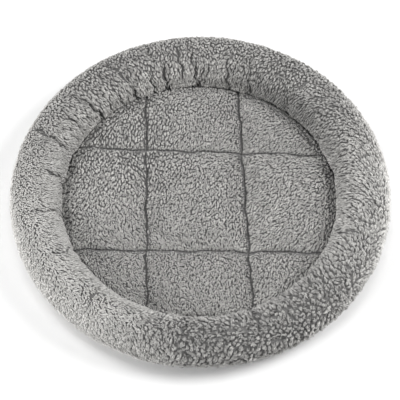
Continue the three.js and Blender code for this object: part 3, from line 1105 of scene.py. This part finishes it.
def drawn_to_middle(values, clump, count, share):
    """Points of locks, moved by a share of the way to the middle of their clump."""
    sums = np.stack([np.bincount(clump, values[:, axis], count) for axis in range(3)], -1)
    middles = sums / np.maximum(np.bincount(clump, minlength=count), 1)[:, None]
    return values + share[:, None] * (middles[clump] - values)


def height_of_tips(drawn):
    """How high each tip is, as a share of the pile's height."""
    lowest = np.interp(drawn, LOOSE_AND_DRAWN, LOWEST_TIPS)
    return lowest + (1 - lowest) * rng.uniform(0, 1, len(drawn))


def fleece_locks(feet, outs, combs, clump, clump_count, clump_width, size, length_share, drawn, curly):
    """Points of all locks, how far each point lies out of painted shade, tones for each lock and its clump,
    and how grainy it is.
    """
    count = len(feet)
    grain = np.interp(drawn, LOOSE_AND_DRAWN, GRAINS)
    tone = rng.uniform(0, 1, count)
    tip_height = height_of_tips(drawn)
    slit_shade = np.interp(drawn, LOOSE_AND_DRAWN, SLIT_SHADES)[:, None]
    thinness = np.interp(drawn, LOOSE_AND_DRAWN, THINNESS)[:, None]
    drawn = np.minimum(drawn * rng.uniform(*PULLED, clump_count)[clump], MOST_DRAWN)
    uneven = rng.normal(0, 1, clump_count)[clump] * between(UNEVEN, curly)
    off_middle = np.linalg.norm(feet - drawn_to_middle(feet, clump, clump_count, np.ones(count)), axis=1)
    at_edge = np.clip(off_middle / (clump_width / 2 * size), 0, 1) ** 2
    dome = 1 - between(DOMED, curly) * at_edge
    slit_shade = slit_shade * (1 + curly * between(MIDDLE_AND_EDGE, at_edge))[:, None]
    height = (PILE_HEIGHT * rng.uniform(*HEIGHT_SPREAD, count) * length_share * dome + uneven)[:, None]
    length = between(LOCK_LENGTHS, curly) * size * length_share * np.exp(rng.normal(0, LENGTH_SPREAD, count))
    length = length[:, None]
    width = (between(LOCK_WIDTHS, curly) * size * rng.uniform(*WIDTH_SPREAD, count))[:, None]
    side = np.cross(outs, combs)
    root = feet - outs * ROOT_BELOW
    sideways = (rng.normal(0, 1, count) * between(SIDEWAYS, curly) * size)[:, None]
    knee = feet + combs * length * KNEE_ALONG + side * sideways + outs * height * KNEE_ABOVE
    knee = drawn_to_middle(knee, clump, clump_count, KNEE_DRAWN * drawn)
    tip = feet + combs * length + outs * height * tip_height[:, None]
    tip = drawn_to_middle(tip, clump, clump_count, drawn)
    points = lock_points(root, knee, tip, side, width, width * thinness)
    # painted shade: how high a point lies in the pile, darkened deeper where slits open and at a curly
    # clump's edge
    high = np.sum((points - feet[:, None, :]) * outs[:, None, :], axis=2) / PILE_HEIGHT
    high = np.clip(1 - slit_shade * (1 - np.clip(high, 0, 1)), 0, 1)
    points[:, :, 2] = np.maximum(points[:, :, 2], FLOOR_CLEARANCE)
    return points, high, tone, rng.uniform(0, 1, clump_count)[clump], grain


print("each lock has", POINTS_EACH, "points, and a tone of its own and of its clump")

# %% [markdown]
# Locks of both pieces
#
# The bolster and the pad wear the same fleece, so both go through the same function. What differs are the
# values. On the bolster's inner wall the pile is longer and more drawn together, because the seam squeezes
# it, and at the pad's rim it fills the corner.

# %% Locks of both pieces
DRAWN_ON_WALL = 0.3
DRAWN_TURNS = (100, 130)
LONGER_ON_WALL = 0.25
LONGER_TURNS = (90, 140)
LONGER_AT_RIM = 0.15
RIM_PILE = 11 * MM
PAD_LOCK_SIZE = 0.95

bolster_longer = 1 + LONGER_ON_WALL * smoothstep(lock_turn, *LONGER_TURNS)
bolster_clumped = round_bed(CLUMPED, lock_angle) * (1 + DRAWN_ON_WALL * smoothstep(lock_turn, *DRAWN_TURNS))
pad_longer = 1 + LONGER_AT_RIM * (1 - smoothstep(inside_seam(lock_x, lock_y), 0, RIM_PILE))
bolster_locks = fleece_locks(
    bolster_feet,
    bolster_out,
    bolster_comb,
    bolster_clump,
    len(clump_feet),
    CLUMP_SPACING * round_bed(CLUMP_SIZE, lock_angle),
    coarseness(lock_angle, lock_turn),
    bolster_length_share * bolster_longer,
    bolster_clumped * bolster_free,
    bolster_curly,
)
pad_locks = fleece_locks(
    pad_feet,
    pad_out,
    pad_comb,
    pad_clump,
    len(pad_clump_feet),
    PAD_CLUMP_SPACING,
    np.full(len(pad_feet), PAD_LOCK_SIZE),
    pad_length_share * pad_longer,
    over_pad(PAD_CLUMPED, lock_x, lock_y) * pad_free,
    pad_curly,
)
print(len(bolster_locks[0]), "locks on the bolster,", len(pad_locks[0]), "on the pad")

# %% [markdown]
# Held back at lines and seam
#
# A lock's foot may stand clear of a quilting line and the lock still fall over it, which would hide the
# line. The needle has pushed such locks aside, so their points are moved back to the side on which the foot
# stands, by no two locks alike. Along the seam the locks of the wall are held up off the pad in the same
# way, so that the dark gap between the two pieces stays open.

# %% Held back at lines and seam
PARTED = (0.5 * MM, 1.6 * MM)  # how far to each side of a quilting line the pile is held back
CLEAR_OF_PAD = 1.8 * MM


def parted(points, feet):
    """Points of the pad's locks, held back where they would lie over a quilting line."""
    held_back = rng.uniform(*PARTED, (len(feet), 1))
    for axis, lines in ((0, LINES_ACROSS_X), (1, LINES_ACROSS_Y)):
        for line in lines:
            side = np.sign(feet[:, axis] - line_place(*line, feet[:, 1 - axis]))[:, None]
            there = line_place(*line, points[..., 1 - axis])
            points[..., axis] = there + side * np.maximum(side * (points[..., axis] - there), held_back)


def clear_of_pad(points):
    """Points of the bolster's locks, held up where they would lie on the pad and hide the seam."""
    x, y, z = np.moveaxis(points, 2, 0)
    held_up = np.maximum(z, pad_height(x, y) + CLEAR_OF_PAD)
    points[..., 2] = np.where(inside_seam(x, y) > 0, held_up, z)


parted(pad_locks[0], pad_feet)
clear_of_pad(bolster_locks[0])
print("highest tip:", (bolster_locks[0][:, :, 2].max() / MM).round(1), "mm")

# %% [markdown]
# Meshes of pile
#
# So many locks would be slow as single objects, so more than ten thousand at a time become one mesh. They
# are shared out by where they stand: quarters of the ring and halves of the pad. Each lock also gets a cell
# of its own on a flat map, its sides unrolled next to each other, so that its paint can be baked without
# bleeding into its neighbours.

# %% Meshes of pile
CELL_MARGIN = 0.08
CAP_SHARE = 0.12  # of a cell's height, for the hidden foot
CAP_FILLED = 0.7


def map_of_one_lock():
    """Flat places of the corners of one lock's faces, within its cell."""
    heights = [CAP_SHARE + (1 - CAP_SHARE) * share for share, _ in LOCK_RINGS]
    edges = [(side / LOCK_SIDES, (side + 1) / LOCK_SIDES) for side in range(LOCK_SIDES)]
    walls = []
    for low, high in zip(heights, heights[1:]):
        for left, right in edges:
            walls += [(left, low), (right, low), (right, high), (left, high)]
    ends = []
    for left, right in edges:
        ends += [(left, heights[-1]), (right, heights[-1]), ((left + right) / 2, 1)]
    foot = CAP_SHARE * CAP_FILLED
    return np.array(walls), np.array(ends + [(0, 0), (foot, 0), (0, foot)])


def pile_mesh(name, points, high, lock_number, clump_number, grain, light):
    count = len(points)
    values = {
        "out_of_painted_shade": high,
        "of_lock": np.repeat(lock_number, POINTS_EACH),
        "of_clump": np.repeat(clump_number, POINTS_EACH),
        "grain": np.repeat(grain, POINTS_EACH),
        "nap_tone_and_painted_light": np.repeat(light, POINTS_EACH),
    }
    piece = mesh_object(name, points.reshape(-1, 3), lock_faces(count), values)
    cells = math.ceil(math.sqrt(count))
    cell = np.stack([np.arange(count) % cells, np.arange(count) // cells], -1)[:, None, :]
    parts = [(cell + CELL_MARGIN + (1 - 2 * CELL_MARGIN) * flat) / cells for flat in map_of_one_lock()]
    flat_map = np.concatenate([part.reshape(-1, 2) for part in parts])
    layer = piece.data.uv_layers.new(name="OFBake")
    layer.data.foreach_set("uv", flat_map.astype(np.float32).ravel())
    return piece


def shared_out(name, locks, light, shares):
    """Meshes of the locks, one for each number among the shares."""
    found = []
    for k in range(shares.max() + 1):
        here = shares == k
        found.append(pile_mesh(f"{name}_{k + 1}", *(part[here] for part in (*locks, light))))
    return found


print("map of one lock:", sum(len(flat) for flat in map_of_one_lock()), "faces")

# %% [markdown]
# Nap tone and painted light
#
# A nap brushed one way looks pale and one brushed the other way looks dark, as on velvet that a hand has
# passed over, and each lock carries that as a value. The same value also holds painted light and shade:
# lighter and darker stretches round the ring and on its inner wall, its outer side painted paler, the
# overhang over the seam and the pad's rim painted lighter, and painted shade where pile is pressed into a
# crease, a quilting line or the seam.

# %% Nap tone and painted light
# painted light: the bolster's outer side, below these turns, is painted paler
OUTSIDE_TURNS = (20, 70)
PALER_OUTSIDE = 0.28
# painted shade in the creases
DARKER_IN_CREASE = 0.55
DARK_BESIDE_CREASE = 2.2 * MM
# painted shade along the quilting lines
DARKER_ON_LINE = 0.75
DARK_BESIDE_LINE = 1.3 * MM
# painted shade along the seam, on the bolster's wall and on the pad's rim
DARKER_AT_SEAM = 0.9
DARK_BESIDE_SEAM = 4.6 * MM
LIGHTER_UNDER_WALL = 0.5  # the overhang at the seam gets much light back from the pad
UNDER_WALL_TURNS = (170, 190, 196, 207)  # where that sets in, is full, starts to fade and ends
# painted light on the pad's rim, which lies in the shaded groove beside the wall
LIGHTER_AT_RIM = 0.3
RIM_LIGHTENS = (4 * MM, 7 * MM)


# the nap's tone round the bolster, with painted light and painted shade
def light_on_bolster(angle, turn):
    on_wall = smoothstep(turn, *WALL_TURNS)
    light = round_bed(LIGHT, angle) * (1 - on_wall)
    light += round_bed(WALL_LIGHT, angle) * on_wall
    light *= 1 + PALER_OUTSIDE * (1 - smoothstep(turn, *OUTSIDE_TURNS))
    lit_from, lit_fully, fades_from, fades_out = UNDER_WALL_TURNS
    under_wall = smoothstep(turn, lit_from, lit_fully) * (1 - smoothstep(turn, fades_from, fades_out))
    light *= 1 + LIGHTER_UNDER_WALL * under_wall
    light *= 1 - DARKER_AT_SEAM * near(height_above_seam(turn), DARK_BESIDE_SEAM)
    return light * (1 - DARKER_IN_CREASE * crease(angle, turn, DARK_BESIDE_CREASE))


# the nap's tone round the pad, with painted shade at lines and seam and painted light at the rim
def light_on_pad(x, y):
    in_from_seam = inside_seam(x, y)
    light = over_pad(PAD_LIGHT, x, y) * (1 - DARKER_ON_LINE * near(line_distance(x, y), DARK_BESIDE_LINE))
    light *= 1 - DARKER_AT_SEAM * near(in_from_seam, DARK_BESIDE_SEAM)
    lit_from, lit_fully = RIM_LIGHTENS
    at_rim = smoothstep(in_from_seam, lit_from, lit_fully)
    at_rim *= 1 - smoothstep(in_from_seam, lit_fully, RIM_PILE)
    return light * (1 + LIGHTER_AT_RIM * at_rim)


bolster_light, pad_light = light_on_bolster(lock_angle, lock_turn), light_on_pad(lock_x, lock_y)
bolster_pile = shared_out("bolster_pile", bolster_locks, bolster_light, (lock_angle % 360 // 90).astype(int))
pad_pile = shared_out("pad_pile", pad_locks, pad_light, (lock_x > 0).astype(int))

# %% [markdown]
# Quilting stitches
#
# The quilting lines are sewn with a thick grey thread. Each stitch is a short bowed tube that comes out of
# the cloth, lies over it and goes in again.

# %% Quilting stitches
STITCH_LENGTH = 3.4 * MM
STITCH_PITCH = 4.6 * MM
THREAD_RADIUS = 0.45 * MM
THREAD_SIDES = 5
STITCH_RINGS = 4
THREAD_END = 0.7  # radius where a stitch goes in, as a share
STITCHED_TO_SEAM = 6 * MM


def stitch_mesh(name, starts, ends, outs):
    """A mesh of stitches from their start and end points and the directions out of the cloth."""
    along = unit(ends - starts)
    side = unit(np.cross(outs, along))
    rings = []
    for t in np.linspace(0, 1, STITCH_RINGS):
        bow = math.sin(math.pi * t) * 2 * THREAD_RADIUS - THREAD_RADIUS
        middle = starts + (ends - starts) * t + outs * bow
        radius = THREAD_RADIUS * (THREAD_END + (1 - THREAD_END) * math.sin(math.pi * t))
        for corner in range(THREAD_SIDES):
            turn = 2 * math.pi * corner / THREAD_SIDES
            rings.append(middle + radius * (math.cos(turn) * side + math.sin(turn) * outs))
    points = np.stack(rings, axis=1)
    offsets = (np.arange(len(starts)) * THREAD_SIDES * STITCH_RINGS)[:, None, None]
    walls = grid_faces(STITCH_RINGS, THREAD_SIDES)
    corners = np.arange(THREAD_SIDES)
    caps = np.stack([corners[::-1], corners + THREAD_SIDES * (STITCH_RINGS - 1)])
    faces = [(walls + offsets).reshape(-1, 4), (caps + offsets).reshape(-1, THREAD_SIDES)]
    return mesh_object(name, points.reshape(-1, 3), faces)


def line_points(along_y, at, slope):
    """Places a stitch's pitch apart on a quilting line, from seam to seam, and the line's direction there."""
    steps = np.arange(-OUTER_RADIUS, OUTER_RADIUS, STITCH_PITCH)
    across = line_place(at, slope, steps)
    x, y = (across, steps) if along_y else (steps, across)
    inside = inside_seam(x, y) > STITCHED_TO_SEAM
    direction = unit(np.array([slope, 1.0]) if along_y else np.array([1.0, slope]))
    return x[inside], y[inside], np.tile(direction, (inside.sum(), 1))


lines = [line_points(True, *line) for line in LINES_ACROSS_X]
lines += [line_points(False, *line) for line in LINES_ACROSS_Y]
stitch_x, stitch_y = (np.concatenate([line[k] for line in lines]) for k in (0, 1))
to_end = STITCH_LENGTH * np.concatenate([line[2] for line in lines])
starts, start_out, _ = pad_roots(stitch_x, stitch_y)
ends, _, _ = pad_roots(stitch_x + to_end[:, 0], stitch_y + to_end[:, 1])
quilting_stitches = stitch_mesh("quilting_stitches", starts, ends, start_out)

# %% [markdown]
# Paint by sums
#
# A material's look is a web of nodes, but most of what it does is arithmetic. One small class wraps an
# output of a node, so that the rest can be written as sums.

# %% Paint by sums
class Value:
    """A node's output that can be used in sums, each of which adds its Math node."""

    def __init__(self, finish, socket):
        self.finish = finish
        self.socket = socket

    def maths(self, operation, *values):
        return self.finish.node("ShaderNodeMath", {"operation": operation}, values)

    def __add__(self, other):
        return self.maths("ADD", self, other)

    def __mul__(self, other):
        return self.maths("MULTIPLY", self, other)

    def __sub__(self, other):
        return self.maths("SUBTRACT", self, other)

    def __rsub__(self, other):
        return self.maths("SUBTRACT", other, self)

    __radd__ = __add__
    __rmul__ = __mul__


print("values can be added, taken off and multiplied")

# %% [markdown]
# A finish and its nodes
#
# A second class holds a material. It adds nodes and feeds them, and it knows the few kinds that this bed
# needs. Noise and ribs are placed by the mesh's own coordinates, so that they stay on the cloth wherever it
# goes.

# %% A finish and its nodes
class Finish:
    """A material with its nodes."""

    def __init__(self, name):
        self.material = bpy.data.materials.new(name)
        self.material.use_nodes = True
        self.tree = self.material.node_tree
        self.shader = self.tree.nodes["Principled BSDF"]

    def node(self, kind, settings=None, inputs=(), output=0):
        made = self.tree.nodes.new(kind)
        for key, value in (settings or {}).items():
            setattr(made, key, value)
        pairs = inputs.items() if isinstance(inputs, dict) else enumerate(inputs)
        for key, value in pairs:
            self.feed(made.inputs[key], value)
        return Value(self, made.outputs[output])

    def feed(self, socket, value):
        if isinstance(value, Value):
            self.tree.links.new(value.socket, socket)
        else:
            socket.default_value = value

    def set(self, **sockets):
        for key, value in sockets.items():
            self.feed(self.shader.inputs[key.replace("_", " ")], value)

    def attribute(self, name):
        return self.node("ShaderNodeAttribute", {"attribute_name": name}, output="Fac")

    def noise(self, scale, detail=2.0, rough=0.5):
        place = self.node("ShaderNodeTexCoord", output="Object")
        sockets = {"Vector": place, "Scale": scale, "Detail": detail, "Roughness": rough}
        return self.node("ShaderNodeTexNoise", {}, sockets)

    def ribs(self, place, axis, per_metre):
        """A wave from -1 to 1 along one axis, with so many ribs a metre."""
        along = self.node("ShaderNodeSeparateXYZ", {}, {"Vector": place}, output=axis)
        return self.node("ShaderNodeMath", {"operation": "SINE"}, [along * (per_metre * math.pi)])

    def mixed(self, share, first, second):
        sockets = {"Factor": share, 6: first, 7: second}  # 6 and 7 are the two colours, A and B
        return self.node("ShaderNodeMix", {"data_type": "RGBA"}, sockets, output=2)

    def scaled(self, colour, strength):
        """A colour made lighter or darker."""
        sockets = {"Vector": colour, "Scale": strength}
        return self.node("ShaderNodeVectorMath", {"operation": "SCALE"}, sockets)

    def bumped(self, height, distance, strength=1.0):
        sockets = {"Height": height, "Distance": distance, "Strength": strength}
        return self.node("ShaderNodeBump", {}, sockets)


print("finishes can be made")

# %% [markdown]
# The fleece's paint
#
# Grey lambswool is never one grey. It is painted darker low in the pile and paler towards the tips, as
# painted shade down between the locks, clumps differ, and the whole cloth has lighter and darker places
# where the nap was brushed. Each lock's colour is also scaled by its nap's tone and the painted light and
# shade it carries. Fine fibres give each lock a grain. Wool has no gloss, but its fuzz glows softly at
# grazing angles, which the sheen setting imitates.

# %% The fleece's paint
# painted shade: the grey low in the pile, which turns to the tips' grey higher up
SHADED_ROOT_GREY = (0.085, 0.083, 0.08, 1)
TIP_GREY = (0.405, 0.398, 0.385, 1)
PALES_UPWARDS = 1.7  # a lock has its tip's colour from 1 / 1.7 of the pile's height up
BRUSHED_PLACES = 16.0  # how many to a metre, as for the fibres
FIBRES = 360.0
OVERALL = 1.1
LOCKS_DIFFER = 0.5
CLUMPS_DIFFER = 0.5
FIBRES_DIFFER = 1.2
BRUSHED_DIFFERS = 0.2
FIBRE_HEIGHT = 0.4 * MM


def woolly(finish):
    """Wool has no gloss, but its fuzz glows at grazing angles."""
    finish.set(Roughness=1.0, Specular_IOR_Level=0.1, Sheen_Weight=0.25, Sheen_Roughness=0.6)


def fleece(name):
    finish = Finish(name)
    high = finish.attribute("out_of_painted_shade")
    lock = finish.attribute("of_lock")
    clump = finish.attribute("of_clump")
    brushed = finish.noise(BRUSHED_PLACES, detail=3.0)
    fibres = finish.noise(FIBRES, detail=2.5, rough=0.8)
    # painted shade: darker low in the pile and in open slits, paler towards the tips
    colour = finish.mixed(PALES_UPWARDS * high, SHADED_ROOT_GREY, TIP_GREY)
    tone = LOCKS_DIFFER * (lock - 0.5) + CLUMPS_DIFFER * (clump - 0.5) + FIBRES_DIFFER * (fibres - 0.5)
    uneven = OVERALL + BRUSHED_DIFFERS * (brushed - 0.5) + finish.attribute("grain") * tone
    # the colour is scaled by the nap's tone and by the painted light and shade that each lock carries
    finish.set(Base_Color=finish.scaled(colour, uneven * finish.attribute("nap_tone_and_painted_light")))
    finish.set(Normal=finish.bumped(fibres, FIBRE_HEIGHT, strength=0.5))
    woolly(finish)
    return finish.material


fleece_material = fleece("grey_fleece")
for piece in bolster_pile + pad_pile:
    piece.data.materials.append(fleece_material)
print("painted", len(bolster_pile + pad_pile), "meshes of pile")

# %% [markdown]
# Backing and base cloth
#
# Under the pile is the fleece's knitted back, which shows only in the creases; its grey is its own, and
# being darker than the wool's it also paints shade into them. Below, where the bed rests on the floor, is a
# plain woven base cloth. Its weave is two sets of ribs that cross, worked out from the place alone, and it
# is a little darker between the threads.

# %% Backing and base cloth
# partly painted shade: darker than the wool, so the creases and slits where the backing shows look shaded
BACKING_GREY = (0.16, 0.158, 0.155)
LOOPS = 700.0  # how many to a metre
DARKEST_LOOP = 0.7  # as a share of the grey
LOOPS_DIFFER = 0.6
LOOP_HEIGHT = 0.6 * MM
BASE_GREY = (0.16, 0.158, 0.155)
THREADS_PER_METRE = 900
DARKEST_WEAVE = 0.75
RIBS_DIFFER = 0.3
THREAD_HEIGHT = 0.3 * MM
WORN_PLACES = 20.0  # how many to a metre
WORN_DIFFERS = 0.3


def backing():
    finish = Finish("knitted_backing")
    loops = finish.noise(LOOPS, detail=3.0, rough=0.6)
    finish.set(Base_Color=finish.scaled(BACKING_GREY, DARKEST_LOOP + LOOPS_DIFFER * loops))
    finish.set(Normal=finish.bumped(loops, LOOP_HEIGHT))
    woolly(finish)
    return finish.material


def base_cloth():
    finish = Finish("woven_base")
    place = finish.node("ShaderNodeTexCoord", output="Object")
    warp, weft = (finish.ribs(place, axis, THREADS_PER_METRE) for axis in "XY")
    ribs = 0.5 + 0.5 * (warp * weft)
    worn = finish.noise(WORN_PLACES, detail=3.0)
    uneven = DARKEST_WEAVE + RIBS_DIFFER * ribs + WORN_DIFFERS * worn
    finish.set(Base_Color=finish.scaled(BASE_GREY, uneven))
    finish.set(Normal=finish.bumped(ribs, THREAD_HEIGHT))
    finish.set(Roughness=0.9, Specular_IOR_Level=0.3)
    return finish.material


UNDERSIDE_BELOW = 1.2 * MM
backing_material, base_material = backing(), base_cloth()
for piece in (bolster_cloth, pad_cloth):
    piece.data.materials.append(backing_material)
    piece.data.materials.append(base_material)
    middle = np.empty(3 * len(piece.data.polygons), np.float32)
    piece.data.polygons.foreach_get("center", middle)
    below = (middle.reshape(-1, 3)[:, 2] < UNDERSIDE_BELOW).astype(np.int32)
    piece.data.polygons.foreach_set("material_index", below)
    print(piece.name, below.sum(), "faces of base cloth")

# %% [markdown]
# Sewing thread
#
# The thread is a darker grey than the wool. It is spun from several plies, so it isn't one even colour
# either. A very fine noise stands in for them, because a stitch is narrower than a pixel from where the
# bed is looked at.

# %% Sewing thread
THREAD_GREY = (0.06, 0.059, 0.058)
PLIES_PER_METRE = 2500
DARKEST_PLY = 0.7
PLIES_DIFFER = 0.6
PLY_HEIGHT = 0.2 * MM

thread = Finish("sewing_thread")
plies = thread.noise(PLIES_PER_METRE, detail=1.0)
thread.set(Base_Color=thread.scaled(THREAD_GREY, DARKEST_PLY + PLIES_DIFFER * plies))
thread.set(Normal=thread.bumped(plies, PLY_HEIGHT), Roughness=0.8)
quilting_stitches.data.materials.append(thread.material)
print("painted", quilting_stitches.name)

# %% [markdown]
# Floor and light
#
# A pale floor and large soft lamps keep attention on the bed. Three lamps on the left and two on the right,
# one of them low on each side, let the sides of the ring glow and leave its front and its steep walls
# darker, which brings out its roundness. One above reaches into the nest.

# %% Floor and light
FLOOR_SIZE = 8.0
FLOOR_BELOW = 0.2 * MM  # so that the base cloth and the floor aren't in the same plane
FLOOR_WHITE = (0.92, 0.92, 0.92, 1)
LAMP_WHITE = (1, 1, 1, 1)
LAMP_SIZE = 1.2
WORLD_STRENGTH = 0.16
LAMPS = [
    ("left behind", (-1.6, 0.9, 1.8), 21),
    ("left in front", (-1.7, -1.3, 1.3), 24),
    ("left, low", (-2.3, 0.0, 0.5), 16),
    ("right", (1.8, 0.2, 1.6), 42),
    ("right, low", (2.4, 0.1, 0.6), 16),
    ("above", (0.0, 0.0, 2.6), 16),
]
floor_points = np.array([[-1, -1, 0], [1, -1, 0], [1, 1, 0], [-1, 1, 0]]) * FLOOR_SIZE / 2
floor = mesh_object("floor", floor_points, [np.array([[0, 1, 2, 3]])])
floor.location.z = -FLOOR_BELOW
floor_finish = Finish("pale_floor")
floor_finish.set(Base_Color=FLOOR_WHITE, Roughness=0.9)
floor.data.materials.append(floor_finish.material)

world = bpy.data.worlds.new("studio")
bpy.context.scene.world = world
world.use_nodes = True
background = world.node_tree.nodes["Background"]
background.inputs["Color"].default_value = LAMP_WHITE
background.inputs["Strength"].default_value = WORLD_STRENGTH
for name, place, watts in LAMPS:
    lamp_data = bpy.data.lights.new(name, "AREA")
    lamp_data.shape = "DISK"
    lamp_data.size = LAMP_SIZE
    lamp_data.energy = watts
    lamp = bpy.data.objects.new(name, lamp_data)
    lamp.location = place
    lamp.rotation_euler = Vector(place).to_track_quat("Z", "Y").to_euler()
    bpy.context.collection.objects.link(lamp)
bpy.context.scene.view_settings.view_transform = "Standard"
print(len(LAMPS), "lamps")

# %% [markdown]
# Handing over
#
# Each piece is told which body it rides on, and the solids of the bed are hidden, since the dressed
# pieces stand in for them.

# %% Handing over
bolster_pieces = [bolster_cloth] + bolster_pile
pad_pieces = [pad_cloth, quilting_stitches] + pad_pile
for piece in bolster_pieces + pad_pieces:
    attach(piece, "root")
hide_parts("bolster_ring")
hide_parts("floor_pad")
